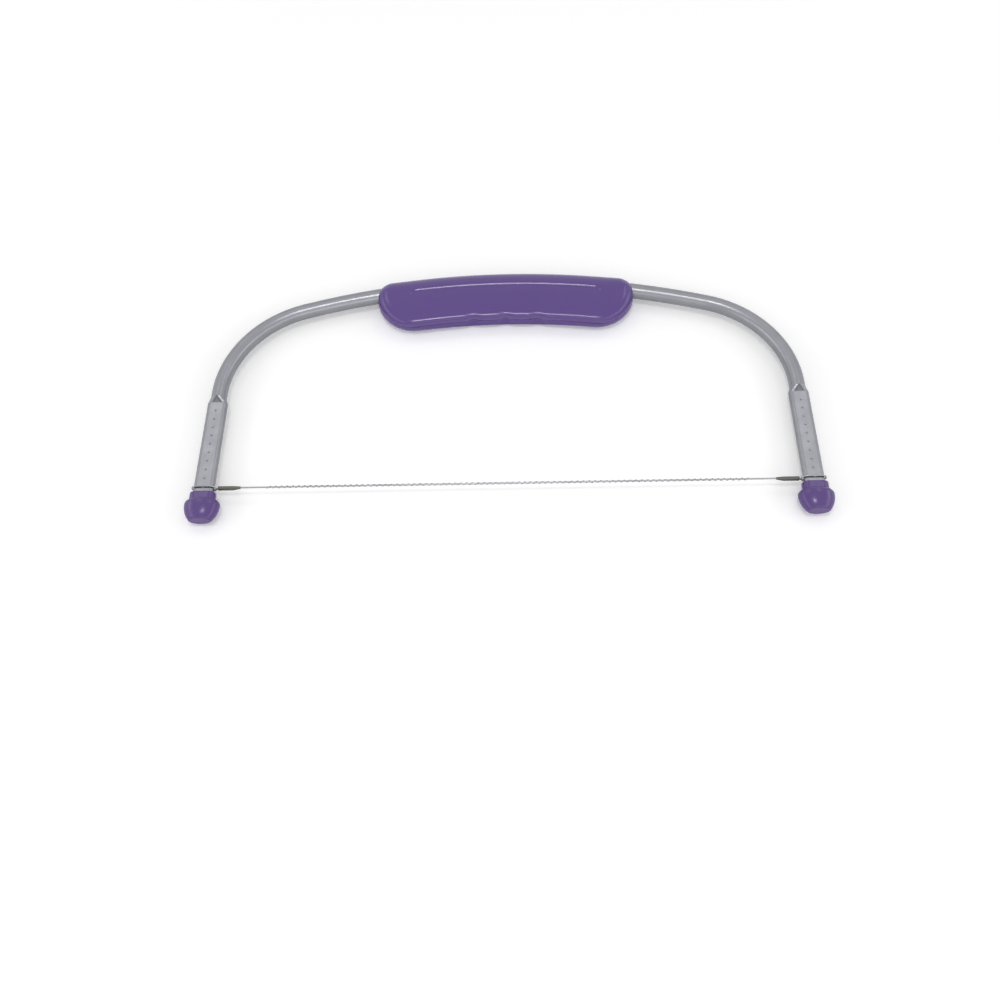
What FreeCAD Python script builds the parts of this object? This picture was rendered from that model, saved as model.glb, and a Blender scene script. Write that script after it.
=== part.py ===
# Cake leveler: a bent tube bow with a moulded handle, two feet and a cutting wire that sets
# the height of the cut. It is modelled lying on its back, as it is stored: X runs along the
# wire, Y from the feet to the handle and Z up out of the front face. Sizes are millimetres.
# The origin is under the middle of the outline, on the surface that the bow lies on.
import FreeCAD, Part
import math
import os

from FreeCAD import Vector

# Bow tube
leg_spacing = 296.0
tube_diameter = 8.0
tube_wall = 0.8
bend_radius = 56.0
crown_radius = 380.0
crown_height = 143.5
leg_thickness = 4.0
ramp_length = 3.0
ramp_tip_width = 0.6
ramp_below_bend = 3.6

# Height marks and notches on the pressed legs
notch_pitch = 5.0
notch_radius = 0.55
flat_above_top_notch = 4.5
dot_diameter = 1.4
dot_depth = 0.25

# Cutting wire
wire_diameter = 0.8
wire_low_height = 17.5
loop_clearance = 0.2
loop_neck_radius = 2.0
strand_gap = 0.04
wrap_thickness = 0.3
wrap_clearance = 0.02
plain_wire_length = 12.5

# Crimp ferrules
ferrule_length = 7.5
ferrule_taper = 3.5
ferrule_wall = 0.45
ferrule_tip_wall = 0.2
ferrule_clearance = 0.02
tail_setback = 1.0
crimp_count = 3
crimp_pitch = 2.2
crimp_radius = 0.8
crimp_depth = 0.22

# Handle
handle_length = 138.4
handle_below_tube = 25.2
handle_wall = 1.6
handle_face_wall = 2.1
handle_upper_corner = 9.0
handle_end_straight = 0.6
handle_edge_radius = 5.5
handle_side_flat = 0.8
front_fall = 2.8
front_fall_halfway = 0.85
front_fall_overrun = 2.8
cavity_clearance = 0.4
saddle_clearance = 0.1
rib_thickness = 1.6
rib_spacing = 34.0
rib_count = 4

# Palm recess on the handle's front, and finger land with its notches on the underside
recess_length = 100.0
recess_below_tube = 4.0
recess_height = 17.0
recess_depth = 1.0
recess_corner = 3.0
finger_land_length = 98.0
finger_land_depth = 0.8
finger_notch_count = 3
finger_notch_pitch = 17.3
finger_notch_width = 8.6
finger_notch_depth = 1.2

# Handle screws
screw_diameter = 2.6
screw_length = 8.4
screw_head_diameter = 5.0
screw_head_height = 1.8
screw_head_sink = 0.5
screw_clearance = 0.05
screw_head_clearance = 0.3
screw_slot_width = 0.9
screw_slot_length = 3.2
screw_slot_depth = 1.0
screw_spacing = 76.0
screw_below_tube = 14.0
boss_wall = 1.9
boss_tip_gap = 0.4

# Feet
foot_height = 14.8
foot_width = 17.4
foot_depth = 11.2
foot_widest_height = 8.6
foot_shoulder_height = 11.0
foot_sole_width = 10.8
foot_sole_edge = 1.2
foot_sections = 4
foot_floor = 3.0
foot_collar_wall = 1.2
foot_collar_edge = 0.7
foot_clearance = 0.1

# Sizes that follow from the ones above
tube_radius = tube_diameter / 2
wire_radius = wire_diameter / 2
leg_radius = leg_thickness / 2
# Pressing a round tube flat keeps its girth, so the leg widens as it thins
leg_flat_half = math.pi * (tube_diameter - leg_thickness) / 4
leg_half_width = leg_flat_half + leg_radius
handle_thickness = tube_diameter + 2 * (cavity_clearance + handle_face_wall)
handle_above_tube = tube_radius + cavity_clearance + handle_wall
handle_lower_wall = handle_wall + finger_land_depth + finger_notch_depth + front_fall_halfway
overall_height = crown_height + handle_above_tube
mid_z = handle_thickness / 2
flat_z = mid_z + leg_radius
sole_y = -overall_height / 2
crown_y = sole_y + crown_height
crown_centre = Vector(0, crown_y - crown_radius, mid_z)
wire_y = sole_y + wire_low_height
leg_end_y = sole_y + foot_floor
leg_x = leg_spacing / 2
# The shoulder bend meets the crown and the leg without a corner
bend_x = leg_x - bend_radius
bend_y = crown_centre.y + math.sqrt((crown_radius - bend_radius) ** 2 - bend_x ** 2)
# The leg is pressed flat as far up as its bend lets it, with as many notches as then fit
flat_top_y = bend_y - ramp_below_bend - ramp_length
notch_count = 1 + math.floor((flat_top_y - flat_above_top_notch - wire_y) / notch_pitch)
loop_radius = leg_radius + loop_clearance + wire_radius
strand_offset = wire_radius + strand_gap / 2
# Edges closer to a plane than this lie in it
in_plane = 1e-6


def arc_about(centre, start, end):
    """Edge of a circular arc, under a half turn, round a centre."""
    middle = (start - centre) + (end - centre)
    middle.normalize()
    return Part.Arc(start, centre + middle * (start - centre).Length, end).toShape()


def half_turn(start, middle, end):
    """Edge of a half circle through its middle point."""
    return Part.Arc(start, middle, end).toShape()


def line(start, end):
    """Straight edge."""
    return Part.LineSegment(start, end).toShape()


def mirrored(shape):
    """Copy of a right-hand shape for the left side."""
    return shape.mirror(Vector(0, 0, 0), Vector(1, 0, 0))


def obround(centre, along, across, flat_half, radius):
    """Wire of two straight sides and two round ends, its straight sides along one direction."""
    a, b = along * flat_half, across * radius
    c = along * (flat_half + radius)
    return Part.Wire([
        line(centre - a + b, centre + a + b),
        half_turn(centre + a + b, centre + c, centre + a - b),
        line(centre + a - b, centre - a - b),
        half_turn(centre - a - b, centre - c, centre - a + b),
    ])


def split_circle(centre, along, across, radius, tip_half):
    """Circle in four arcs that match an obround's four edges."""
    a = along * tip_half
    b = across * math.sqrt(radius ** 2 - tip_half ** 2)
    top, side = across * radius, along * radius
    return Part.Wire([
        half_turn(centre - a + b, centre + top, centre + a + b),
        half_turn(centre + a + b, centre + side, centre + a - b),
        half_turn(centre + a - b, centre - top, centre - a - b),
        half_turn(centre - a - b, centre - side, centre - a + b),
    ])


X, Y, Z = Vector(1, 0, 0), Vector(0, 1, 0), Vector(0, 0, 1)


# Bow tube
def bow_path(start_y):
    """Centre line of the round stretch of the tube, from the left leg to the right."""
    bend = Vector(bend_x, bend_y, mid_z)
    leg_top = Vector(leg_x, bend_y, mid_z)
    outward = bend - crown_centre
    crown_end = crown_centre + outward * (crown_radius / outward.Length)
    flip = lambda p: Vector(-p.x, p.y, p.z)
    return Part.Wire([
        line(Vector(-leg_x, start_y, mid_z), flip(leg_top)),
        arc_about(flip(bend), flip(leg_top), flip(crown_end)),
        arc_about(crown_centre, flip(crown_end), crown_end),
        arc_about(bend, crown_end, leg_top),
        line(leg_top, Vector(leg_x, start_y, mid_z)),
    ])


def bow_core(wall, end_y):
    """The bow filled solid, drawn in by a wall: pressed legs, ramps and round stretch."""
    ramp_y = flat_top_y + ramp_length
    ring = Part.Circle(Vector(-leg_x, ramp_y, mid_z), Y, tube_radius - wall).toShape()
    body = bow_path(ramp_y).makePipeShell([Part.Wire(ring)], True, False)
    for x in (-leg_x, leg_x):
        base = Vector(x, end_y, mid_z)
        top = Vector(x, flat_top_y, mid_z)
        leg = Part.Face(obround(base, X, Z, leg_flat_half, leg_radius - wall)).extrude(top - base)
        ramp = Part.makeLoft([
            obround(top, X, Z, leg_flat_half, leg_radius - wall),
            split_circle(top + Y * ramp_length, X, Z, tube_radius - wall, ramp_tip_width / 2),
        ], True, True)
        body = body.fuse([leg, ramp])
    return body.removeSplitter()


def height_marks():
    """Notches along the right leg's outer edge, and a stamped dot beside each on its front."""
    marks = []
    edge_x = leg_x + leg_half_width
    punch_radius = (dot_diameter ** 2 / 4 + dot_depth ** 2) / (2 * dot_depth)
    for step in range(notch_count):
        y = wire_y + step * notch_pitch
        notch_base = Vector(edge_x, y, mid_z - leg_radius)
        marks.append(Part.makeCylinder(notch_radius, leg_thickness, notch_base, Z))
        marks.append(Part.makeSphere(punch_radius, Vector(leg_x, y, flat_z + punch_radius - dot_depth)))
    return marks


def bow_tube():
    tube = bow_core(0, leg_end_y).cut(bow_core(tube_wall, leg_end_y - tube_wall))
    marks = height_marks()
    return tube.cut(marks + [mirrored(mark) for mark in marks])


# Cutting wire
def neck_angle():
    """How far the loop follows the leg's inner edge before it turns into the ferrule."""
    return math.acos((strand_offset + loop_neck_radius) / (loop_radius + loop_neck_radius))


def ferrule_mouth_x():
    """Where the two strands of the right loop come together, beside the leg."""
    return leg_x - leg_flat_half - (loop_radius + loop_neck_radius) * math.sin(neck_angle())


def loop_edges():
    """Right half of the wire's line: half the span, the loop round the leg, and its tail."""
    angle = neck_angle()
    mouth = ferrule_mouth_x()
    inner = Vector(leg_x - leg_flat_half, wire_y, mid_z)
    outer = Vector(leg_x + leg_flat_half, wire_y, mid_z)
    reach = Z * loop_radius
    turn = X * (-loop_radius * math.sin(angle))
    lift = Z * (loop_radius * math.cos(angle))
    neck = Z * (strand_offset + loop_neck_radius)
    strand = Z * strand_offset
    mouth_point = Vector(mouth, wire_y, mid_z)
    tail_x = mouth - ferrule_length + tail_setback
    return [
        line(Vector(0, wire_y, mid_z) + strand, mouth_point + strand),
        arc_about(mouth_point + neck, mouth_point + strand, inner + turn + lift),
        arc_about(inner, inner + turn + lift, inner + reach),
        line(inner + reach, outer + reach),
        half_turn(outer + reach, outer + X * loop_radius, outer - reach),
        line(outer - reach, inner - reach),
        arc_about(inner, inner - reach, inner + turn - lift),
        arc_about(mouth_point - neck, inner + turn - lift, mouth_point - strand),
        line(mouth_point - strand, Vector(tail_x, wire_y, mid_z) - strand),
    ]


def cutting_wire():
    """One length of wire, from the tail in one ferrule to the tail in the other."""
    ring = Part.Circle(Vector(0, wire_y, mid_z + strand_offset), X, wire_radius).toShape()
    half = Part.Wire(loop_edges()).makePipeShell([Part.Wire(ring)], True, False)
    return half.fuse(mirrored(half)).removeSplitter()


def serration_wrap():
    """Outer shape of the thin wire that is wound round the span as its teeth."""
    reach = ferrule_mouth_x() - ferrule_length - ferrule_taper - plain_wire_length
    start = Vector(-reach, wire_y, mid_z + strand_offset)
    bore = Part.makeCylinder(wire_radius + wrap_clearance, 2 * reach, start, X)
    return Part.makeCylinder(wire_radius + wrap_clearance + wrap_thickness, 2 * reach, start, X).cut(bore)


def right_ferrule():
    """Crimped sleeve over both strands, tapering to the single wire of the span."""
    bore = wire_radius + ferrule_clearance
    mouth = Vector(ferrule_mouth_x(), wire_y, mid_z)
    neck = mouth - X * ferrule_length
    tip = neck - X * ferrule_taper + Z * strand_offset
    sleeve = Part.Face(obround(mouth, Z, Y, strand_offset, bore + ferrule_wall)).extrude(neck - mouth)
    taper = Part.makeLoft([
        obround(neck, Z, Y, strand_offset, bore + ferrule_wall),
        split_circle(tip, Z, Y, bore + ferrule_tip_wall, strand_offset / 2),
    ], True, True)
    slot = Part.Face(obround(mouth, Z, Y, strand_offset, bore)).extrude(neck - mouth)
    length = ferrule_length + ferrule_taper
    hole = Part.makeCylinder(bore, length, mouth + Z * strand_offset, -X)
    return sleeve.fuse(taper).removeSplitter().cut([slot, hole] + ferrule_crimps(mouth))


def ferrule_crimps(mouth):
    """Dents that the crimping jaws leave across both sides of the right ferrule's sleeve."""
    half = strand_offset + wire_radius + ferrule_clearance + ferrule_wall
    rise = wire_radius + ferrule_clearance + ferrule_wall + crimp_radius - crimp_depth
    dents = []
    for index in range(crimp_count):
        offset = (index - (crimp_count - 1) / 2) * crimp_pitch
        for side in (-1, 1):
            base = mouth + Vector(offset - ferrule_length / 2, side * rise, -half)
            dents.append(Part.makeCylinder(crimp_radius, 2 * half, base, Z))
    return dents


# Handle
def handle_outline(inset, lower_inset, z):
    """Outline between two arcs that share the crown's centre, drawn in by the walls' insets."""
    outer = crown_radius + handle_above_tube - inset
    inner = crown_radius - handle_below_tube + lower_inset
    end_x = handle_length / 2 - inset
    upper = handle_upper_corner - inset
    centre = Vector(0, crown_centre.y, z)
    flip = lambda p: Vector(-p.x, p.y, p.z)
    up_x = end_x - upper
    up_rise = math.sqrt((outer - upper) ** 2 - up_x ** 2)
    # The lower corner takes the height that the upper corner and the straight end leave
    low_rise = up_rise - handle_end_straight
    lower = (low_rise ** 2 - inner ** 2 + end_x ** 2) / (2 * (inner + end_x))
    up = centre + Vector(up_x, up_rise, 0)
    low = centre + Vector(end_x - lower, low_rise, 0)
    top_end = centre + (up - centre) * (outer / (outer - upper))
    foot_end = centre + (low - centre) * (inner / (inner + lower))
    end_up, end_low = up + X * upper, low + X * lower
    return Part.Wire([
        arc_about(centre, flip(top_end), top_end),
        arc_about(up, top_end, end_up),
        line(end_up, end_low),
        arc_about(low, end_low, foot_end),
        arc_about(centre, foot_end, flip(foot_end)),
        arc_about(flip(low), flip(foot_end), flip(end_low)),
        line(flip(end_low), flip(end_up)),
        arc_about(flip(up), flip(end_up), flip(top_end)),
    ])


def handle_block(inset, lower_inset, low_z, high_z, edge_radius):
    """Slab with the handle's outline and rounded front and back edges."""
    slab = Part.Face(handle_outline(inset, lower_inset, low_z)).extrude(Z * (high_z - low_z))
    rims = [edge for edge in slab.Edges if edge.BoundBox.ZLength < in_plane]
    # The rounding leaves a flat strip round the sides of a thinner slab
    radius = min(edge_radius, (high_z - low_z - handle_side_flat) / 2)
    return slab.makeFillet(radius, rims)


def screw_places():
    """Screw axes, on an arc below the tube."""
    radius = crown_radius - screw_below_tube
    half = screw_spacing / 2
    y = crown_centre.y + math.sqrt(radius ** 2 - half ** 2)
    return [Vector(-half, y, 0), Vector(half, y, 0)]


def handle_hollow():
    """Room inside the handle, less the cross ribs and the screw bosses that stand in it."""
    top_z = handle_thickness - handle_face_wall
    edge_radius = handle_edge_radius - handle_wall
    room = handle_block(handle_wall, handle_lower_wall, handle_face_wall, top_z, edge_radius)
    box = room.BoundBox
    fillings = []
    for index in range(rib_count):
        x = (index - (rib_count - 1) / 2) * rib_spacing
        rib = Part.makeBox(rib_thickness, box.YLength, box.ZLength)
        rib.translate(Vector(x - rib_thickness / 2, box.YMin, box.ZMin))
        fillings.append(rib)
    boss_radius = screw_diameter / 2 + screw_clearance + boss_wall
    for place in screw_places():
        fillings.append(Part.makeCylinder(boss_radius, handle_thickness, place, Z))
    return room.cut(fillings)


def finger_grip():
    """Cuts on the underside: a land that runs out at its ends, and three shallow finger notches."""
    inner = crown_radius - handle_below_tube
    half = finger_land_length / 2
    land_y = crown_centre.y + inner + finger_land_depth
    sag = land_y - crown_centre.y - math.sqrt(inner ** 2 - half ** 2)
    land_radius = (half ** 2 + sag ** 2) / (2 * sag)
    land_centre = land_y - land_radius
    cuts = [Part.makeCylinder(land_radius, handle_thickness, Vector(0, land_centre, 0), Z)]
    notch_half = finger_notch_width / 2
    radius = (notch_half ** 2 + finger_notch_depth ** 2) / (2 * finger_notch_depth)
    for index in range(finger_notch_count):
        x = (index - (finger_notch_count - 1) / 2) * finger_notch_pitch
        y = land_centre + math.sqrt(land_radius ** 2 - x ** 2) + finger_notch_depth - radius
        cuts.append(Part.makeCylinder(radius, handle_thickness, Vector(x, y, 0), Z))
    return cuts


def front_fall_cut():
    """Cut that lets the front fall away in an arc, from the tube's line to past the finger grip."""
    reach = handle_below_tube + front_fall_overrun
    start = Vector(0, crown_y, handle_thickness)
    halfway = start - Y * (reach / 2) - Z * front_fall_halfway
    end = start - Y * reach - Z * front_fall
    above = Z * handle_edge_radius
    profile = Part.Face(Part.Wire([
        Part.Arc(start, halfway, end).toShape(),
        line(end, end + above),
        line(end + above, start + above),
        line(start + above, start),
    ]))
    sweep = math.degrees(math.asin(handle_length / crown_radius))
    profile.rotate(crown_centre, Z, -sweep)
    return profile.revolve(crown_centre, Z, 2 * sweep)


def handle_body():
    """Both shells in one piece, with the tube's channel, before they are parted."""
    block = handle_block(0, 0, 0, handle_thickness, handle_edge_radius)
    channel = Part.makeTorus(crown_radius, tube_radius + saddle_clearance, crown_centre, Z)
    return block.cut([handle_hollow(), channel] + finger_grip())


def shell_half(low_z):
    """The half of the handle that lies on one side of the parting plane."""
    body = handle_body()
    box = body.BoundBox
    keep = Part.makeBox(box.XLength, box.YLength, mid_z)
    keep.translate(Vector(box.XMin, box.YMin, low_z))
    return body.common(keep)


def palm_recess():
    """Cut for the palm recess: deepest along its upper edge, running out at its lower edge."""
    outer = crown_radius - recess_below_tube
    inner = outer - recess_height
    half = recess_length / 2
    centre = Vector(0, crown_centre.y, handle_thickness)
    flip = lambda p: Vector(-p.x, p.y, p.z)
    top_end = centre + Vector(half, math.sqrt(outer ** 2 - half ** 2), 0)
    low_end = centre + Vector(half, math.sqrt(inner ** 2 - half ** 2), 0)
    outline = Part.Wire([
        arc_about(centre, flip(top_end), top_end),
        line(top_end, low_end),
        arc_about(centre, low_end, flip(low_end)),
        line(flip(low_end), flip(top_end)),
    ])
    slab = Part.Face(outline).extrude(Z * -recess_depth)
    corners = [edge for edge in slab.Edges if edge.BoundBox.ZLength > recess_depth / 2]
    slab = slab.makeFillet(recess_corner, corners)
    # The recess floor slopes from its full depth below the crown to nothing at the lower edge
    low_y = slab.BoundBox.YMin
    high_y = slab.BoundBox.YMax
    left = slab.BoundBox.XMin
    corner_low = Vector(left, low_y, handle_thickness)
    corner_high = Vector(left, high_y, handle_thickness)
    corner_deep = corner_high - Z * recess_depth
    wedge = Part.Face(Part.makePolygon([corner_low, corner_high, corner_deep, corner_low]))
    return slab.common(wedge.extrude(X * slab.BoundBox.XLength))


def handle_front_shell():
    pilot_radius = screw_diameter / 2 + screw_clearance
    pilots = []
    for place in screw_places():
        depth = screw_tip_z() + boss_tip_gap - mid_z
        pilots.append(Part.makeCylinder(pilot_radius, depth, place + Z * mid_z, Z))
    return shell_half(mid_z).cut([front_fall_cut(), palm_recess()] + pilots)


def screw_seat_z():
    """Floor of the counterbores in the handle's back, where the screw heads sit."""
    return screw_head_sink + screw_head_height


def screw_tip_z():
    """How far the screws reach towards the front."""
    return screw_seat_z() + screw_length


def handle_rear_shell():
    shank_radius = screw_diameter / 2 + screw_clearance
    head_radius = screw_head_diameter / 2 + screw_head_clearance
    holes = []
    for place in screw_places():
        holes.append(Part.makeCylinder(shank_radius, mid_z, place, Z))
        holes.append(Part.makeCylinder(head_radius, screw_seat_z(), place, Z))
    return shell_half(0).cut(holes)


def handle_screws():
    """Pan-head screws put in from the handle's back, with cross slots."""
    screws = []
    for place in screw_places():
        seat = place + Z * screw_seat_z()
        head = Part.makeCylinder(screw_head_diameter / 2, screw_head_height, seat, -Z)
        shank = Part.makeCylinder(screw_diameter / 2, screw_length, seat, Z)
        slots = []
        for length, width in ((screw_slot_length, screw_slot_width), (screw_slot_width, screw_slot_length)):
            slot = Part.makeBox(length, width, screw_slot_depth)
            slot.translate(place + Vector(-length / 2, -width / 2, screw_head_sink))
            slots.append(slot)
        screws.append(head.fuse(shank).cut(slots))
    return Part.makeCompound(screws)


# Feet
def swell(narrow, height):
    """Half width of a foot, some height from its widest, on an arc that ends at a narrow half width."""
    widest = foot_width / 2
    end_half, end_height = narrow
    drop = widest - end_half
    radius = (drop ** 2 + end_height ** 2) / (2 * drop)
    return widest - radius + math.sqrt(radius ** 2 - height ** 2)


def foot_oval(half_width, height):
    """Level section of the right foot, which lies on the same surface as the handle's back."""
    centre = Vector(leg_x, sole_y + height, foot_depth / 2)
    half_depth = half_width * foot_depth / foot_width
    return Part.Wire(Part.Ellipse(centre + X * half_width, centre + Z * half_depth, centre).toShape())


def foot_bulb():
    """Swelling part of the right foot, from its sole to its shoulder."""
    sole = (foot_sole_width / 2, foot_widest_height)
    collar_half = leg_half_width + foot_clearance + foot_collar_wall
    shoulder_rise = foot_shoulder_height - foot_widest_height
    shoulder = (min(collar_half, foot_width / 2 - foot_collar_edge), shoulder_rise)
    ovals = []
    for index in range(foot_sections + 1):
        below = foot_widest_height * (1 - index / foot_sections)
        ovals.append(foot_oval(swell(sole, below), foot_widest_height - below))
    for index in range(1, foot_sections + 1):
        above = shoulder_rise * index / foot_sections
        ovals.append(foot_oval(swell(shoulder, above), foot_widest_height + above))
    bulb = Part.makeLoft(ovals, True, False)
    rim = [edge for edge in bulb.Edges if edge.BoundBox.YMax < sole_y + foot_sole_edge]
    return bulb.makeFillet(foot_sole_edge, rim)


def right_foot():
    """Bulb with a flat sole and a collar, and the socket that the leg's end is pushed into."""
    bulb = foot_bulb()
    collar_base = Vector(leg_x, sole_y + foot_widest_height, mid_z)
    collar_rise = Y * (foot_height - foot_widest_height)
    collar_radius = leg_radius + foot_clearance + foot_collar_wall
    collar = Part.Face(obround(collar_base, X, Z, leg_flat_half, collar_radius)).extrude(collar_rise)
    collar_top = sole_y + foot_height
    lip = [edge for edge in collar.Edges if edge.BoundBox.YMin > collar_top - in_plane]
    collar = collar.makeFillet(foot_collar_edge, lip)

    socket_base = Vector(leg_x, leg_end_y, mid_z)
    socket = Part.Face(obround(socket_base, X, Z, leg_flat_half, leg_radius + foot_clearance))
    return bulb.fuse(collar).removeSplitter().cut(socket.extrude(Y * foot_height))


nodes = {
    "bow_tube": bow_tube(),
    "handle_front_shell": handle_front_shell(),
    "handle_rear_shell": handle_rear_shell(),
    "handle_screws": handle_screws(),
    "left_foot": mirrored(right_foot()),
    "right_foot": right_foot(),
    "cutting_wire": cutting_wire(),
    "serration_wrap": serration_wrap(),
    "left_ferrule": mirrored(right_ferrule()),
    "right_ferrule": right_ferrule(),
}

os.makedirs("parts", exist_ok=True)
for name, shape in nodes.items():
    shape.exportStep("parts/" + name + ".step")
    box = shape.BoundBox
    print(f"{name}: {len(shape.Solids)} solids, valid {shape.isValid()}, volume {shape.Volume:.1f} mm3, "
          f"x {box.XMin:.2f} to {box.XMax:.2f}, y {box.YMin:.2f} to {box.YMax:.2f}, "
          f"z {box.ZMin:.2f} to {box.ZMax:.2f}")
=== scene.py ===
# Looks of the cake leveler: a satin steel bow with a violet moulded handle and feet, and a wire with
# wound-on teeth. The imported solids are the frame, and the pieces made here sit where the frame says.
import bpy
import math
import numpy as np
from mathutils import Matrix, Quaternion, Vector


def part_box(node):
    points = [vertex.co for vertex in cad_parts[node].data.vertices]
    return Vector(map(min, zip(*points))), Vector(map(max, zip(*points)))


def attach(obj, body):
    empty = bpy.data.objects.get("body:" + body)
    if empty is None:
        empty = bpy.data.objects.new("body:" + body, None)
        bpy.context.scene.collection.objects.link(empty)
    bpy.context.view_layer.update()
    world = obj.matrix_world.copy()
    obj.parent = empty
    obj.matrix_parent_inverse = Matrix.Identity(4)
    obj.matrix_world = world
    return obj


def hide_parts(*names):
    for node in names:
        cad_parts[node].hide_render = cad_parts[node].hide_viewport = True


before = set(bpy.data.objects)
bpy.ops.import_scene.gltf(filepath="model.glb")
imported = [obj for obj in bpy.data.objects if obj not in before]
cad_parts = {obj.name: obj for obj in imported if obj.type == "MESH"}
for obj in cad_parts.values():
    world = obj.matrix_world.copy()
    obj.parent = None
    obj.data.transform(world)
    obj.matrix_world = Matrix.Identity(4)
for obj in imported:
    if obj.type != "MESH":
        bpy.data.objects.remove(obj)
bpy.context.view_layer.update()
MM = 0.001

# Camera, from lines of the bow fitted to the photograph
camera_place = Vector((9.1, -302.9, 425.1)) * MM
camera_elevation = math.radians(60.5)
camera_azimuth = math.radians(2.98)
camera_roll = math.radians(-3.56)
camera_lens = 36.0
camera_sensor = 36.0
camera_near = 0.01

# Light: the room's level, then the lamps, with places and sizes in metres and power in watts
room_light = 0.57
key_place = (-0.05, -0.2, 1.3)
key_size = 0.22
key_power = 2.3
fill_place = (0.3, -1.3, 0.7)
fill_width = 1.2
fill_height = 0.8
fill_power = 2.6
side_place = (0.6, 0.82, 1.3)
side_width = 0.45
side_height = 0.35
side_power = 0.75
strip_place = (1.0, -0.2, 0.55)
strip_width = 1.6
strip_height = 0.3
strip_power = 2.0

# Floor: its gap under the handle's back in millimetres, its reach and the fade of its glow in metres
floor_gap = 0.1
floor_reach = 3.0
floor_roughness = 0.9
floor_specular = 0.1
floor_glow = 0.14
far_floor_glow = 0.45
floor_glow_start = 0.35
floor_glow_end = 1.5

# Handle, in millimetres
crown_radius = 380.0
handle_above_tube = 6.0
handle_below_tube = 25.2
upper_corner = 9.0
end_straight = 0.6
edge_radius = 5.5
shoulder_edge_width = 8.4
shoulder_blend = 10.0
top_edge_width = 10.0
top_edge_half_length = 58.0
top_edge_blend = 10.0
side_flat = 0.7
front_fall = 3.4
front_fall_reach = 28.0
front_fall_slope = 0.2
recess_half_length = 51.0
recess_below_tube = 4.5
recess_height = 17.0
recess_depth = 0.78
recess_corner = 3.0
recess_lip = 2.0
recess_runout = 0.08
land_half_length = 49.0
seam_land_depth = 0.8
edge_land_depth = 0.4
land_edge_width = 4.2
land_edge_height = 1.9
land_blend_length = 11.0
notch_pitch = 17.3
notch_half_width = 5.4
seam_notch_depth = 1.2
edge_notch_depth = 0.7
grip_softness = 0.25
seam_depth = 0.1
seam_height = 0.16

# Points on each arc of the handle's outline, along its sides and its ends, and steps round its edge
handle_arc_points = 400
handle_along_points = 361
handle_end_points = 65
handle_edge_steps = 14

# Bow's centre line, and the darker dots and the painted shade of the pressed step on its legs, in
# millimetres
leg_x = 148.0
bend_x = 92.0
bend_y = -0.59
bend_radius = 56.0
crown_centre_y = -311.25
crown_end_x = 107.9
flat_front_z = 8.5
flat_top_y = -7.19
ramp_length = 3.0
ramp_tip_half_width = 0.3
ramp_base_half_width = 2.5
ramp_edge_outside = 0.3
ramp_edge_inside = 0.4
ramp_centre_inside = 1.2
ramp_foot_blend = 0.2
lowest_dot_y = -57.25
highest_dot_y = -12.25
dot_pitch = 5.0
dot_radius = 0.7
mark_depth = 0.6

# How dark the painted shade on the pressed step and the darker dots are, and the shares of a dot's radius
# where its darkening starts to fade and ends
ramp_shade = 0.8
ramp_centre_shade = 0.55
dot_shade = 0.25
dot_fade_start = 0.4
dot_fade_end = 1.2

# Teeth of the cutting wire, in millimetres, and the points on a turn and round the thin wire
tooth_pitch = 2.83
tooth_wire_diameter = 0.34
tooth_winding_radius = 0.55
tooth_turn_points = 20
tooth_wire_points = 10

# Moulded plastic: patterns in millimetres, and how strongly they show
plastic_index = 1.54
plastic_cloud = 9.0
plastic_cloud_detail = 3.0
plastic_gloss_spread = 0.04
plastic_grain = 0.30
plastic_grain_depth = 0.004
plastic_grain_detail = 2.0
plastic_grain_strength = 0.5

# Metals: patterns in millimetres, and how strongly they show
metal_cloud = 6.0
metal_cloud_detail = 4.0
metal_grain_detail = 3.0
metal_grain_strength = 0.4
tube_cloud = 7.0
tube_cloud_detail = 4.0
tube_gloss_spread = 0.03
draw_line_width = 0.3
draw_line_length = 18.0
draw_line_depth = 0.006
draw_line_detail = 2.0
draw_line_share = 0.5
draw_line_strength = 0.4

# The part of a cloud's range that is used, and of the tube's cloud and lines added together
cloud_low = 0.3
cloud_high = 0.7
tube_tone_low = 0.45
tube_tone_high = 1.05

# Sockets of a Mix node, which share their names and so go by place
MIX_VALUE_A = 2
MIX_VALUE_B = 3
MIX_VALUE = 0
MIX_COLOUR_A = 6
MIX_COLOUR_B = 7
MIX_COLOUR = 2


# Colours and node trees
def linear(hex_colour):
    """Linear red, green, blue and alpha of an sRGB hex value."""
    channels = [int(hex_colour[i:i + 2], 16) / 255 for i in (1, 3, 5)]
    bent = [c / 12.92 if c <= 0.04045 else ((c + 0.055) / 1.055) ** 2.4 for c in channels]
    return (*bent, 1.0)


def add_node(tree, kind, settings=None, values=None, links=None):
    """Adds a node with its settings, its input values and the links into it. Inputs go by name, or by
    place where their names repeat."""
    node = tree.nodes.new(kind)
    for name, value in (settings or {}).items():
        setattr(node, name, value)
    for name, value in (values or {}).items():
        node.inputs[name].default_value = value
    for name, source in (links or {}).items():
        tree.links.new(source, node.inputs[name])
    return node


def new_material(name):
    """A material with an empty node tree, and that tree."""
    material = bpy.data.materials.new(name)
    material.use_nodes = True
    material.node_tree.nodes.clear()
    return material, material.node_tree


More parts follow.
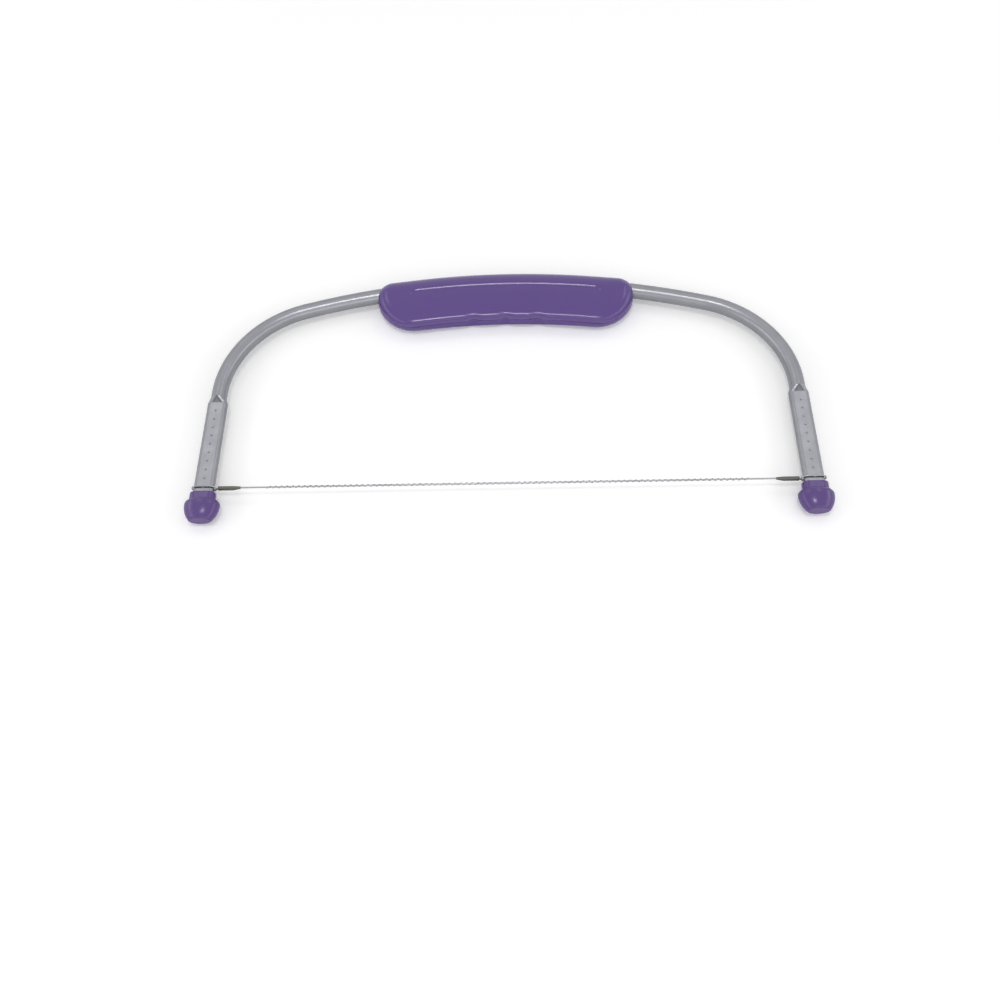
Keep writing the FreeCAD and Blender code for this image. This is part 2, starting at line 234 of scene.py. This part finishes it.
# Moulded plastic
def moulded_abs(name, body, shade, roughness):
    """Violet ABS from a polished mould: even colour, a soft gloss and a very fine grain."""
    material, tree = new_material(name)
    place = add_node(tree, "ShaderNodeTexCoord")
    cloud = add_node(tree, "ShaderNodeTexNoise",
                     values={"Scale": 1 / (plastic_cloud * MM), "Detail": plastic_cloud_detail},
                     links={"Vector": place.outputs["Object"]})
    colour = add_node(tree, "ShaderNodeMix", {"data_type": "RGBA"},
                      {MIX_COLOUR_A: linear(shade), MIX_COLOUR_B: linear(body)},
                      {"Factor": cloud.outputs["Fac"]})
    rough = add_node(tree, "ShaderNodeMapRange",
                     values={"From Min": cloud_low, "From Max": cloud_high,
                             "To Min": roughness - plastic_gloss_spread,
                             "To Max": roughness + plastic_gloss_spread},
                     links={"Value": cloud.outputs["Fac"]})
    grain = add_node(tree, "ShaderNodeTexNoise",
                     values={"Scale": 1 / (plastic_grain * MM), "Detail": plastic_grain_detail},
                     links={"Vector": place.outputs["Object"]})
    bump = add_node(tree, "ShaderNodeBump",
                    values={"Strength": plastic_grain_strength, "Distance": plastic_grain_depth * MM},
                    links={"Height": grain.outputs["Fac"]})
    shader = add_node(tree, "ShaderNodeBsdfPrincipled", values={"IOR": plastic_index},
                      links={"Base Color": colour.outputs[MIX_COLOUR], "Roughness": rough.outputs["Result"],
                             "Normal": bump.outputs["Normal"]})
    add_node(tree, "ShaderNodeOutputMaterial", links={"Surface": shader.outputs["BSDF"]})
    return material


# Metals
def worn_metal(name, bright, dull, roughness, spread, grain_mm, grain_depth_mm):
    """Bare metal with faint cloudy dulling and a fine satin grain."""
    material, tree = new_material(name)
    place = add_node(tree, "ShaderNodeTexCoord")
    cloud = add_node(tree, "ShaderNodeTexNoise",
                     values={"Scale": 1 / (metal_cloud * MM), "Detail": metal_cloud_detail},
                     links={"Vector": place.outputs["Object"]})
    colour = add_node(tree, "ShaderNodeMix", {"data_type": "RGBA"},
                      {MIX_COLOUR_A: linear(dull), MIX_COLOUR_B: linear(bright)},
                      {"Factor": cloud.outputs["Fac"]})
    rough = add_node(tree, "ShaderNodeMapRange",
                     values={"From Min": cloud_low, "From Max": cloud_high,
                             "To Min": roughness - spread, "To Max": roughness + spread},
                     links={"Value": cloud.outputs["Fac"]})
    grain = add_node(tree, "ShaderNodeTexNoise",
                     values={"Scale": 1 / (grain_mm * MM), "Detail": metal_grain_detail},
                     links={"Vector": place.outputs["Object"]})
    bump = add_node(tree, "ShaderNodeBump",
                    values={"Strength": metal_grain_strength, "Distance": grain_depth_mm * MM},
                    links={"Height": grain.outputs["Fac"]})
    shader = add_node(tree, "ShaderNodeBsdfPrincipled", values={"Metallic": 1.0},
                      links={"Base Color": colour.outputs[MIX_COLOUR], "Roughness": rough.outputs["Result"],
                             "Normal": bump.outputs["Normal"]})
    add_node(tree, "ShaderNodeOutputMaterial", links={"Surface": shader.outputs["BSDF"]})
    return material


def darker_dots_and_step_shade(tree, across, y, z):
    """How much darker the tube is made: a little at the stamped dots, more as painted shade on the pressed
    step above each flat.
    """
    row = add_node(tree, "ShaderNodeMath", {"operation": "SUBTRACT"}, {1: lowest_dot_y * MM}, {0: y})
    step = add_node(tree, "ShaderNodeMath", {"operation": "PINGPONG"}, {1: dot_pitch / 2 * MM},
                    {0: row.outputs["Value"]})
    spot = add_node(tree, "ShaderNodeCombineXYZ", links={"X": across, "Y": step.outputs["Value"]})
    away = add_node(tree, "ShaderNodeVectorMath", {"operation": "LENGTH"},
                    links={0: spot.outputs["Vector"]})
    dot = add_node(tree, "ShaderNodeMapRange", {"interpolation_type": "SMOOTHSTEP"},
                   {"From Min": dot_fade_start * dot_radius * MM,
                    "From Max": dot_fade_end * dot_radius * MM,
                    "To Min": dot_shade, "To Max": 0.0}, {"Value": away.outputs["Value"]})
    below_top = add_node(tree, "ShaderNodeMath", {"operation": "LESS_THAN"},
                         {1: (highest_dot_y + dot_pitch / 2) * MM}, {0: y})
    above_low = add_node(tree, "ShaderNodeMath", {"operation": "GREATER_THAN"},
                         {1: (lowest_dot_y - dot_pitch / 2) * MM}, {0: y})
    in_row = add_node(tree, "ShaderNodeMath", {"operation": "MULTIPLY"},
                      links={0: below_top.outputs["Value"], 1: above_low.outputs["Value"]})
    dots = add_node(tree, "ShaderNodeMath", {"operation": "MULTIPLY"},
                    links={0: dot.outputs["Result"], 1: in_row.outputs["Value"]})

    # Painted shade on the step: a triangle that narrows to the round tube, darkest along its edge and
    # lighter in its centre
    reach = add_node(tree, "ShaderNodeMapRange", {"clamp": False},
                     {"From Min": flat_top_y * MM, "From Max": (flat_top_y + ramp_length) * MM,
                      "To Min": ramp_base_half_width * MM, "To Max": ramp_tip_half_width * MM},
                     {"Value": y})
    side = add_node(tree, "ShaderNodeMath", {"operation": "ABSOLUTE"}, links={0: across})
    inside = add_node(tree, "ShaderNodeMath", {"operation": "SUBTRACT"},
                      links={0: reach.outputs["Result"], 1: side.outputs["Value"]})
    outline = add_node(tree, "ShaderNodeMapRange",
                       values={"From Min": -ramp_edge_outside * MM, "From Max": ramp_edge_inside * MM,
                               "To Max": ramp_shade},
                       links={"Value": inside.outputs["Value"]})
    centre = add_node(tree, "ShaderNodeMapRange",
                      values={"From Min": ramp_edge_inside * MM, "From Max": ramp_centre_inside * MM,
                              "To Min": 1.0, "To Max": ramp_centre_shade},
                      links={"Value": inside.outputs["Value"]})
    triangle = add_node(tree, "ShaderNodeMath", {"operation": "MULTIPLY"},
                        links={0: outline.outputs["Result"], 1: centre.outputs["Result"]})
    over_flat = add_node(tree, "ShaderNodeMapRange",
                         values={"From Min": (flat_top_y - ramp_foot_blend) * MM,
                                 "From Max": (flat_top_y + ramp_foot_blend) * MM},
                         links={"Value": y})
    ramp = add_node(tree, "ShaderNodeMath", {"operation": "MULTIPLY"},
                    links={0: triangle.outputs["Value"], 1: over_flat.outputs["Result"]})
    dot_or_step_darkening = add_node(tree, "ShaderNodeMath", {"operation": "MAXIMUM"},
                     links={0: dots.outputs["Value"], 1: ramp.outputs["Value"]})
    front = add_node(tree, "ShaderNodeMath", {"operation": "GREATER_THAN"},
                     {1: (flat_front_z - mark_depth) * MM}, {0: z})
    return add_node(tree, "ShaderNodeMath", {"operation": "MULTIPLY"},
                    links={0: dot_or_step_darkening.outputs["Value"], 1: front.outputs["Value"]})


def satin_tube(name, bright, dull, dots_and_step_shade_colour, roughness):
    """Nickel-plated steel tube: a broad satin shine, faint lines along it from drawing and brushing,
    and darker stamped dots and painted shade on the pressed steps where the legs were stamped. The lines
    are drawn coarser than real ones."""
    material, tree = new_material(name)
    place = add_node(tree, "ShaderNodeTexCoord")
    axes = add_node(tree, "ShaderNodeSeparateXYZ", links={"Vector": place.outputs["Object"]})
    y, z = axes.outputs["Y"], axes.outputs["Z"]
    side = add_node(tree, "ShaderNodeMath", {"operation": "ABSOLUTE"}, links={0: axes.outputs["X"]})
    level = add_node(tree, "ShaderNodeCombineXYZ", links={"X": side.outputs["Value"], "Y": y})

    # Distance across the tube, from the centre line of its crown, its bends and its legs
    crown = add_node(tree, "ShaderNodeVectorMath", {"operation": "DISTANCE"},
                     {1: (0, crown_centre_y * MM, 0)}, {0: level.outputs["Vector"]})
    on_crown = add_node(tree, "ShaderNodeMath", {"operation": "SUBTRACT"}, {1: crown_radius * MM},
                        {0: crown.outputs["Value"]})
    bend = add_node(tree, "ShaderNodeVectorMath", {"operation": "DISTANCE"},
                    {1: (bend_x * MM, bend_y * MM, 0)}, {0: level.outputs["Vector"]})
    on_bend = add_node(tree, "ShaderNodeMath", {"operation": "SUBTRACT"}, {1: bend_radius * MM},
                       {0: bend.outputs["Value"]})
    on_leg = add_node(tree, "ShaderNodeMath", {"operation": "SUBTRACT"}, {1: leg_x * MM},
                      {0: side.outputs["Value"]})
    past_crown = add_node(tree, "ShaderNodeMath", {"operation": "GREATER_THAN"}, {1: crown_end_x * MM},
                          {0: side.outputs["Value"]})
    past_bend = add_node(tree, "ShaderNodeMath", {"operation": "LESS_THAN"}, {1: bend_y * MM}, {0: y})
    arch = add_node(tree, "ShaderNodeMix", links={
        "Factor": past_crown.outputs["Value"],
        MIX_VALUE_A: on_crown.outputs["Value"], MIX_VALUE_B: on_bend.outputs["Value"]})
    across = add_node(tree, "ShaderNodeMix", links={
        "Factor": past_bend.outputs["Value"],
        MIX_VALUE_A: arch.outputs[MIX_VALUE], MIX_VALUE_B: on_leg.outputs["Value"]})

    # Lines that run with the tube and fade out along it
    along = add_node(tree, "ShaderNodeMath", {"operation": "SUBTRACT"}, links={0: axes.outputs["X"], 1: y})
    slow = add_node(tree, "ShaderNodeMath", {"operation": "MULTIPLY"},
                    {1: draw_line_width / draw_line_length}, {0: along.outputs["Value"]})
    with_tube = add_node(tree, "ShaderNodeCombineXYZ", links={
        "X": across.outputs[MIX_VALUE], "Y": z, "Z": slow.outputs["Value"]})
    lines = add_node(tree, "ShaderNodeTexNoise",
                     values={"Scale": 1 / (draw_line_width * MM), "Detail": draw_line_detail},
                     links={"Vector": with_tube.outputs["Vector"]})
    cloud = add_node(tree, "ShaderNodeTexNoise",
                     values={"Scale": 1 / (tube_cloud * MM), "Detail": tube_cloud_detail},
                     links={"Vector": place.outputs["Object"]})
    tone = add_node(tree, "ShaderNodeMath", {"operation": "MULTIPLY_ADD"}, {1: draw_line_share},
                    {0: lines.outputs["Fac"], 2: cloud.outputs["Fac"]})
    tint = add_node(tree, "ShaderNodeMapRange",
                    values={"From Min": tube_tone_low, "From Max": tube_tone_high},
                    links={"Value": tone.outputs["Value"]})
    plating = add_node(tree, "ShaderNodeMix", {"data_type": "RGBA"},
                       {MIX_COLOUR_A: linear(dull), MIX_COLOUR_B: linear(bright)},
                       {"Factor": tint.outputs["Result"]})
    # Darker stamped dots, and painted shade on the pressed step above each flat
    dot_and_step_darkening = darker_dots_and_step_shade(tree, on_leg.outputs["Value"], y, z)
    colour = add_node(tree, "ShaderNodeMix", {"data_type": "RGBA"}, {MIX_COLOUR_B: linear(dots_and_step_shade_colour)},
                      {"Factor": dot_and_step_darkening.outputs["Value"], MIX_COLOUR_A: plating.outputs[MIX_COLOUR]})
    rough = add_node(tree, "ShaderNodeMapRange",
                     values={"From Min": tube_tone_low, "From Max": tube_tone_high,
                             "To Min": roughness + tube_gloss_spread,
                             "To Max": roughness - tube_gloss_spread},
                     links={"Value": tone.outputs["Value"]})
    bump = add_node(tree, "ShaderNodeBump",
                    values={"Strength": draw_line_strength, "Distance": draw_line_depth * MM},
                    links={"Height": lines.outputs["Fac"]})
    shader = add_node(tree, "ShaderNodeBsdfPrincipled", values={"Metallic": 1.0},
                      links={"Base Color": colour.outputs[MIX_COLOUR], "Roughness": rough.outputs["Result"],
                             "Normal": bump.outputs["Normal"]})
    add_node(tree, "ShaderNodeOutputMaterial", links={"Surface": shader.outputs["BSDF"]})
    return material


handle_abs = moulded_abs("violet_moulded_abs_handle", body="#583C87", shade="#533882", roughness=0.20)
foot_abs = moulded_abs("violet_moulded_abs_foot", body="#573B80", shade="#52377B", roughness=0.24)
# The dark grey goes into the darker stamped dots and the painted shade on the pressed steps
tube_steel = satin_tube("satin_nickel_plated_tube", bright="#929398", dull="#88898F", dots_and_step_shade_colour="#55555A",
                        roughness=0.33)
wire_steel = worn_metal("drawn_stainless_wire", bright="#A8A8AC", dull="#98989D",
                        roughness=0.26, spread=0.06, grain_mm=0.15, grain_depth_mm=0.002)
ferrule_steel = worn_metal("crimped_steel_ferrule", bright="#6E6C68", dull="#5C5A57",
                           roughness=0.42, spread=0.08, grain_mm=0.25, grain_depth_mm=0.006)
screw_zinc = worn_metal("zinc_plated_screw", bright="#B9BAB6", dull="#A5A6A2",
                        roughness=0.34, spread=0.06, grain_mm=0.20, grain_depth_mm=0.003)


# Handle front
def arc_points(centre, radius, start, end, count):
    """Points along a circular arc, angles from the X axis in radians, without the last point."""
    angles = np.linspace(start, end, count, endpoint=False)
    return np.column_stack([centre[0] + radius * np.cos(angles), centre[1] + radius * np.sin(angles)])


def resampled(points, count):
    """Points spaced evenly along a line of points, ends included."""
    steps = np.linalg.norm(np.diff(points, axis=0), axis=1)
    along = np.concatenate([[0], np.cumsum(steps)])
    even = np.linspace(0, along[-1], count)
    return np.column_stack([np.interp(even, along, points[:, k]) for k in (0, 1)])


def handle_runs(centre_y, half_length, along_count, end_count):
    """Right half of the outline in two runs and their mirror: top, right end, bottom and left end."""
    outer = crown_radius + handle_above_tube
    inner = crown_radius - handle_below_tube
    up_x = half_length - upper_corner
    up_rise = math.sqrt((outer - upper_corner) ** 2 - up_x ** 2)
    low_rise = up_rise - end_straight
    lower = (low_rise ** 2 - inner ** 2 + half_length ** 2) / (2 * (inner + half_length))
    low_x = half_length - lower
    crown = (0.0, centre_y)
    up = (up_x, centre_y + up_rise)
    low = (low_x, centre_y + low_rise)
    up_angle = math.atan2(up_rise, up_x)
    low_angle = math.atan2(low_rise, low_x)
    fine = handle_arc_points
    up_mid = up_angle / 2
    low_mid = (low_angle - math.pi) / 2
    top = np.vstack([
        arc_points(crown, outer, math.pi / 2, up_angle, fine),
        arc_points(up, upper_corner, up_angle, up_mid, fine),
        [[up[0] + upper_corner * math.cos(up_mid), up[1] + upper_corner * math.sin(up_mid)]],
    ])
    end = np.vstack([
        arc_points(up, upper_corner, up_mid, 0, fine),
        arc_points(low, lower, 0, low_mid, fine),
        [[low[0] + lower * math.cos(low_mid), low[1] + lower * math.sin(low_mid)]],
    ])
    bottom = np.vstack([
        arc_points(low, lower, low_mid, low_angle - math.pi, fine),
        arc_points(crown, inner, low_angle, math.pi / 2, fine),
        [[0.0, centre_y + inner]],
    ])
    flip = np.array([-1, 1])
    top = resampled(np.vstack([top[:0:-1] * flip, top]), along_count)
    bottom = resampled(np.vstack([bottom, bottom[-2::-1] * flip]), along_count)
    end = resampled(end, end_count)
    return top, end, bottom, end[::-1] * flip


def drawn_in(loop, distance):
    """A closed clockwise loop of points moved inwards, each by its own distance."""
    tangent = np.roll(loop, -1, axis=0) - np.roll(loop, 1, axis=0)
    tangent /= np.linalg.norm(tangent, axis=1)[:, None]
    inward = np.column_stack([tangent[:, 1], -tangent[:, 0]])
    return loop + np.asarray(distance).reshape(-1, 1) * inward


def smooth_step(value):
    """Zero below minus one half, one above one half and a smooth rise between."""
    t = np.clip(value + 0.5, 0, 1)
    return t * t * (3 - 2 * t)


def softly_above(value, floor, softness):
    """The higher of two values, with the corner between them rounded."""
    return floor + softness * np.logaddexp(0, (value - floor) / softness)


def front_drop(x, y, centre_y):
    """How far the front lies below its highest level: it falls away from the tube's line to the finger
    grip, and the palm recess steps down below its rounded lip and runs out into that fall."""
    below_tube = np.maximum(crown_radius - np.hypot(x, y - centre_y), 0)
    t = below_tube / front_fall_reach
    fall = front_fall * (front_fall_slope * t + (1 - front_fall_slope) * t ** 2)
    below = below_tube - recess_below_tube
    half_height = recess_height / 2
    reach_x = np.abs(x) - (recess_half_length - recess_corner)
    reach_y = np.abs(below - half_height) - (half_height - recess_corner)
    outside = np.hypot(np.maximum(reach_x, 0), np.maximum(reach_y, 0))
    distance = outside + np.minimum(np.maximum(reach_x, reach_y), 0) - recess_corner
    floor = recess_depth * np.clip(1 - below / recess_height, 0, 1)
    step = softly_above(floor, fall, recess_runout) - fall
    return fall + step * smooth_step(-distance / recess_lip)


def with_grip(loop, centre_y, land_depth, notch_depth):
    """The outline with its underside cut by a land that runs out at its ends and has three soft notches."""
    inner = crown_radius - handle_below_tube
    land_y = centre_y + inner + land_depth
    sag = land_y - centre_y - math.sqrt(inner ** 2 - land_half_length ** 2)
    land_radius = (land_half_length ** 2 + sag ** 2) / (2 * sag)
    underside = loop[:, 1] < centre_y + crown_radius - handle_below_tube / 2
    x = loop[:, 0]
    land = land_y - land_radius + np.sqrt(np.maximum(land_radius ** 2 - x ** 2, 0))
    for index in (-1, 0, 1):
        t = np.clip((x - index * notch_pitch) / notch_half_width, -1, 1)
        land = land + notch_depth * (1 + np.cos(math.pi * t)) / 2
    y = np.where(underside, softly_above(loop[:, 1], land, grip_softness), loop[:, 1])
    return np.column_stack([x, y]), underside


def build_mesh(name, points, faces, material):
    """A smooth-shaded object in the scene, from points in millimetres."""
    mesh = bpy.data.meshes.new(name)
    mesh.from_pydata((points * MM).tolist(), [], faces)
    mesh.shade_smooth()
    mesh.materials.append(material)
    mesh.update()
    piece = bpy.data.objects.new(name, mesh)
    bpy.context.scene.collection.objects.link(piece)
    return piece


def handle_front():
    """Front half of the handle: rounded all round, with the palm recess and the finger grip."""
    low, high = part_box("handle_front_shell")
    part_z, face_z = low.z / MM, high.z / MM
    centre_y = high.y / MM - crown_radius - handle_above_tube
    along_count = handle_along_points
    end_count = handle_end_points
    runs = handle_runs(centre_y, high.x / MM, along_count, end_count)
    outline = np.vstack([run[:-1] for run in runs])
    count = len(outline)
    seam_loop, _ = with_grip(outline, centre_y, seam_land_depth, seam_notch_depth)
    loop, underside = with_grip(outline, centre_y, edge_land_depth, edge_notch_depth)

    # The edge is rounded widest along the top, less at the ends, and low along the finger grip
    reach = np.abs(loop[:, 0])
    in_land = (land_half_length + land_blend_length / 2 - reach) / land_blend_length
    grip = np.where(underside, smooth_step(in_land), 0)
    upper = np.where(underside, 0, smooth_step((top_edge_half_length - reach) / top_edge_blend))
    end_y = loop[np.argmax(reach), 1]
    shoulder = smooth_step((loop[:, 1] - end_y) / shoulder_blend - 0.5)
    width = edge_radius + (shoulder_edge_width - edge_radius) * shoulder
    width += (land_edge_width - width) * grip + (top_edge_width - width) * upper
    brim = drawn_in(loop, width)
    brim_z = face_z - front_drop(brim[:, 0], brim[:, 1], centre_y)
    height = (brim_z - part_z - side_flat) * (1 - grip) + land_edge_height * grip
    layers = [
        np.column_stack([drawn_in(seam_loop, np.full(count, seam_depth)), np.full(count, part_z)]),
        np.column_stack([seam_loop, np.full(count, part_z + seam_height)]),
    ]
    for turn in np.linspace(0, math.pi / 2, handle_edge_steps):
        inset = width * (1 - math.cos(turn))
        layers.append(np.column_stack([drawn_in(loop, inset), brim_z - height * (1 - math.sin(turn))]))

    # The face is filled between the four runs of the last ring
    last = layers[-1][:, :2]
    corner = np.cumsum([0] + [len(run) - 1 for run in runs])
    closed = np.vstack([last, last[:1]])
    top, right, bottom, left = (closed[corner[k]:corner[k + 1] + 1] for k in range(4))
    bottom, left = bottom[::-1], left[::-1]
    u = np.linspace(0, 1, along_count)[None, :, None]
    v = np.linspace(0, 1, end_count)[:, None, None]
    face = (1 - v) * top[None] + v * bottom[None] + (1 - u) * left[:, None] + u * right[:, None]
    face -= (1 - u) * (1 - v) * top[0] + u * (1 - v) * top[-1]
    face -= (1 - u) * v * bottom[0] + u * v * bottom[-1]
    inner = face[1:-1, 1:-1].reshape(-1, 2)
    inner_z = face_z - front_drop(inner[:, 0], inner[:, 1], centre_y)
    points = np.vstack(layers + [np.column_stack([inner, inner_z])])

    ring_start = (len(layers) - 1) * count
    grid = np.zeros((end_count, along_count), int)
    grid[1:-1, 1:-1] = len(layers) * count + np.arange(len(inner)).reshape(end_count - 2, along_count - 2)
    grid[0] = ring_start + np.arange(corner[0], corner[1] + 1)
    grid[:, -1] = ring_start + np.arange(corner[1], corner[2] + 1)
    grid[-1] = ring_start + np.arange(corner[2], corner[3] + 1)[::-1]
    grid[:, 0] = ring_start + (np.arange(corner[3], corner[4] + 1) % count)[::-1]

    faces = []
    for layer in range(len(layers) - 1):
        a = layer * count
        for k in range(count):
            n = (k + 1) % count
            faces.append((a + n, a + k, a + count + k, a + count + n))
    for row in range(end_count - 1):
        for k in range(along_count - 1):
            faces.append((grid[row + 1, k], grid[row + 1, k + 1], grid[row, k + 1], grid[row, k]))
    faces.append(tuple(range(count)))
    piece = build_mesh("handle_front", points, [tuple(int(i) for i in f) for f in faces], handle_abs)
    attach(piece, "frame")
    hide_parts("handle_front_shell")


# Teeth of the wire
def wire_teeth():
    """Thin wire wound round the span in an open helix, which gives the cutting wire its teeth."""
    low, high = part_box("serration_wrap")
    length = high.x - low.x
    middle = (low + high) / 2
    tree = bpy.data.node_groups.new("wire_teeth", "GeometryNodeTree")
    tree.interface.new_socket("Geometry", in_out="OUTPUT", socket_type="NodeSocketGeometry")
    inputs = {}
    for label in ("Turns", "Winding radius", "Length", "Wire radius"):
        inputs[label] = tree.interface.new_socket(label, in_out="INPUT", socket_type="NodeSocketFloat")
    sizes = {"Turns": length / (tooth_pitch * MM), "Winding radius": tooth_winding_radius * MM,
             "Length": length - tooth_wire_diameter * MM, "Wire radius": tooth_wire_diameter / 2 * MM}
    given = add_node(tree, "NodeGroupInput")
    helix = add_node(tree, "GeometryNodeCurveSpiral", values={"Resolution": tooth_turn_points}, links={
        "Rotations": given.outputs["Turns"], "Start Radius": given.outputs["Winding radius"],
        "End Radius": given.outputs["Winding radius"], "Height": given.outputs["Length"]})
    section = add_node(tree, "GeometryNodeCurvePrimitiveCircle", values={"Resolution": tooth_wire_points},
                       links={"Radius": given.outputs["Wire radius"]})
    wound = add_node(tree, "GeometryNodeCurveToMesh", values={"Fill Caps": True},
                     links={"Curve": helix.outputs["Curve"], "Profile Curve": section.outputs["Curve"]})
    smooth = add_node(tree, "GeometryNodeSetShadeSmooth", links={"Geometry": wound.outputs["Mesh"]})
    real = add_node(tree, "GeometryNodeRealizeInstances", links={"Geometry": smooth.outputs["Geometry"]})
    finish = add_node(tree, "GeometryNodeSetMaterial", values={"Material": wire_steel},
                      links={"Geometry": real.outputs["Geometry"]})
    add_node(tree, "NodeGroupOutput", links={"Geometry": finish.outputs["Geometry"]})

    maker = bpy.data.objects.new("wire_teeth_maker", bpy.data.meshes.new("wire_teeth_maker"))
    bpy.context.scene.collection.objects.link(maker)
    modifier = maker.modifiers.new("wire_teeth", "NODES")
    modifier.node_group = tree
    for label, value in sizes.items():
        modifier[inputs[label].identifier] = value
    bpy.context.view_layer.update()
    shown = maker.evaluated_get(bpy.context.evaluated_depsgraph_get())
    mesh = bpy.data.meshes.new_from_object(shown)
    bpy.data.objects.remove(maker)
    start = Vector((low.x + tooth_wire_diameter / 2 * MM, middle.y, middle.z))
    mesh.transform(Matrix.Translation(start) @ Matrix.Rotation(math.pi / 2, 4, "Y"))
    piece = bpy.data.objects.new("wire_teeth", mesh)
    bpy.context.scene.collection.objects.link(piece)
    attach(piece, "wire")
    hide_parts("serration_wrap")


handle_front()
wire_teeth()

# Finishes of the solids that stay in view
solid_finishes = {
    "handle_rear_shell": handle_abs,
    "bow_tube": tube_steel,
    "left_foot": foot_abs,
    "right_foot": foot_abs,
    "cutting_wire": wire_steel,
    "left_ferrule": ferrule_steel,
    "right_ferrule": ferrule_steel,
    "handle_screws": screw_zinc,
}
for node, finish in solid_finishes.items():
    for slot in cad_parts[node].material_slots:
        slot.material = finish

# Floor, light and camera
white = linear("#FFFFFF")


def seen_directly(tree):
    """One for what the camera sees, straight or in a reflection or through glass, and zero for light."""
    path = add_node(tree, "ShaderNodeLightPath")
    seen = add_node(tree, "ShaderNodeMath", {"operation": "MAXIMUM"},
                    links={0: path.outputs["Is Camera Ray"], 1: path.outputs["Is Glossy Ray"]})
    return add_node(tree, "ShaderNodeMath", {"operation": "MAXIMUM"},
                    links={0: seen.outputs["Value"], 1: path.outputs["Is Transmission Ray"]})


def pale_floor():
    """A wide white board a hair under the tool, which fades to the white of the room."""
    mesh = bpy.data.meshes.new("floor")
    corners = [(x * floor_reach, y * floor_reach, 0) for x, y in ((-1, -1), (1, -1), (1, 1), (-1, 1))]
    mesh.from_pydata(corners, [], [(0, 1, 2, 3)])
    floor = bpy.data.objects.new("floor", mesh)
    floor.location.z = -floor_gap * MM
    bpy.context.scene.collection.objects.link(floor)
    material, tree = new_material("matt_white_board")
    place = add_node(tree, "ShaderNodeTexCoord")
    away = add_node(tree, "ShaderNodeVectorMath", {"operation": "LENGTH"},
                    links={0: place.outputs["Object"]})
    level = add_node(tree, "ShaderNodeMapRange", values={
        "From Min": floor_glow_start, "From Max": floor_glow_end,
        "To Min": floor_glow, "To Max": far_floor_glow}, links={"Value": away.outputs["Value"]})
    glow = add_node(tree, "ShaderNodeMath", {"operation": "MULTIPLY"},
                    links={0: level.outputs["Result"], 1: seen_directly(tree).outputs["Value"]})
    shader = add_node(tree, "ShaderNodeBsdfPrincipled",
                      values={"Base Color": white, "Roughness": floor_roughness,
                              "Specular IOR Level": floor_specular, "Emission Color": white},
                      links={"Emission Strength": glow.outputs["Value"]})
    add_node(tree, "ShaderNodeOutputMaterial", links={"Surface": shader.outputs["BSDF"]})
    mesh.materials.append(material)


def softbox(name, place, width, height, power):
    """A rectangular lamp that faces the middle of the tool."""
    lamp = bpy.data.lights.new(name, "AREA")
    lamp.shape = "RECTANGLE"
    lamp.size = width
    lamp.size_y = height
    lamp.energy = power
    holder = bpy.data.objects.new(name, lamp)
    holder.location = place
    holder.rotation_euler = Vector(place).to_track_quat("Z", "Y").to_euler()
    bpy.context.scene.collection.objects.link(holder)


def studio_light():
    """An even white room with an overhead key and a weak front fill. On each side a lamp behind lights
    the flat of a leg, and a long low strip lights the inside of the far bend."""
    world = bpy.data.worlds.new("white_room")
    bpy.context.scene.world = world
    world.use_nodes = True
    tree = world.node_tree
    tree.nodes.clear()
    level = add_node(tree, "ShaderNodeMapRange", values={"To Min": room_light, "To Max": 1.0},
                     links={"Value": seen_directly(tree).outputs["Value"]})
    room = add_node(tree, "ShaderNodeBackground", values={"Color": white},
                    links={"Strength": level.outputs["Result"]})
    add_node(tree, "ShaderNodeOutputWorld", links={"Surface": room.outputs["Background"]})
    softbox("key", key_place, key_size, key_size, key_power)
    softbox("fill", fill_place, fill_width, fill_height, fill_power)
    for name, turn in (("left", -1), ("right", 1)):
        behind = (turn * side_place[0], *side_place[1:])
        beside = (turn * strip_place[0], *strip_place[1:])
        softbox(name, behind, side_width, side_height, side_power)
        softbox("strip_" + name, beside, strip_width, strip_height, strip_power)


def photo_camera():
    """The photograph's viewpoint."""
    lens = bpy.data.cameras.new("camera")
    lens.lens = camera_lens
    lens.sensor_width = camera_sensor
    lens.clip_start = camera_near
    camera = bpy.data.objects.new("camera", lens)
    level = math.cos(camera_elevation)
    back = Vector((math.sin(camera_azimuth) * level, -math.cos(camera_azimuth) * level,
                   math.sin(camera_elevation)))
    camera.location = camera_place
    camera.rotation_mode = "QUATERNION"
    camera.rotation_quaternion = back.to_track_quat("Z", "Y") @ Quaternion((0, 0, 1), camera_roll)
    bpy.context.scene.collection.objects.link(camera)
    bpy.context.scene.camera = camera


pale_floor()
studio_light()
photo_camera()
bpy.context.scene.view_settings.view_transform = "Standard"
